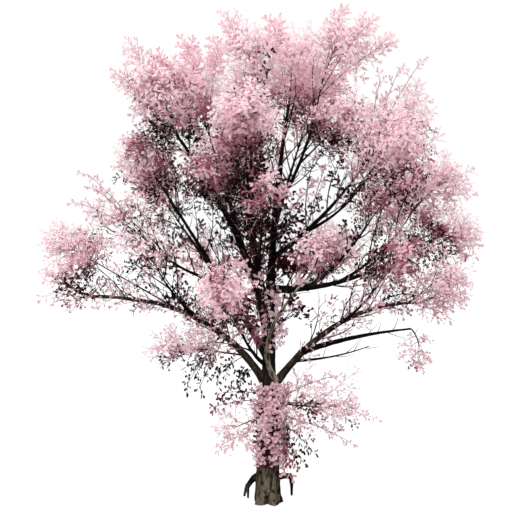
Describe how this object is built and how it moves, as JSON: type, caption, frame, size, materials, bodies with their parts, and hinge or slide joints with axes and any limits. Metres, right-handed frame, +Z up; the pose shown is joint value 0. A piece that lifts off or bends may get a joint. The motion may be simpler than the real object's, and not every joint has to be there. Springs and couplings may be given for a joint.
{
  "type": "peach tree",
  "caption": "Peach tree in full pink blossom: a tapering trunk with arching surface roots, spreading boughs and rounded masses of flowering twigs, fixed in level ground.",
  "frame": {"origin": "middle of the trunk's flat cut at ground level", "axes": "+Z up along the trunk, +X to the right in the picture, -Y towards the viewer"},
  "size_m": [4.8302, 3.8418, 5.3733],
  "materials": {
    "bark": "rough grey-brown bark, fissured on the trunk",
    "blossom": "matt pale pink petals"
  },
  "bodies": {
    "root": {"trunk": "bark", "leader": "bark", "left_centre_bough": "bark", "left_mid_bough": "bark", "left_low_bough": "bark", "right_low_bough": "bark", "centre_stem": "bark", "back_bough": "bark", "front_stem": "bark", "front_left_bough": "bark", "right_mid_bough": "bark", "upper_right_bough": "bark", "back_top_bough": "bark", "top_right_bough": "bark", "centre_front_bough": "bark", "centre_front_high_bough": "bark", "upper_left_back_bough": "bark", "left_back_bough": "bark", "left_outer_bough": "bark", "left_inner_bough": "bark", "right_bare_branch": "bark", "right_level_bough": "bark", "right_inner_bough": "bark", "right_upper_bough": "bark", "right_front_high_bough": "bark", "back_left_low_bough": "bark", "back_right_low_bough": "bark", "back_right_bough": "bark", "top_left": "blossom", "upper_left_back": "blossom", "top_centre_left": "blossom", "top_centre": "blossom", "top_right": "blossom", "left_high": "blossom", "right_high": "blossom", "back_top": "blossom", "right_top": "blossom", "right_front_high": "blossom", "right_upper": "blossom", "right_mid": "blossom", "right_tip": "blossom", "right_inner": "blossom", "centre_front_high": "blossom", "centre_front": "blossom", "centre_right_front": "blossom", "front_left_low": "blossom", "left_inner": "blossom", "left_shoulder": "blossom", "left_outer": "blossom", "left_tip_high": "blossom", "left_tip_low": "blossom", "left_lower": "blossom", "left_back": "blossom", "back_centre": "blossom", "back_right": "blossom", "back_left_low": "blossom", "back_right_low": "blossom", "sprout_left": "blossom", "sprout_right": "blossom", "hanging_right": "blossom"}
  },
  "joints": []
}
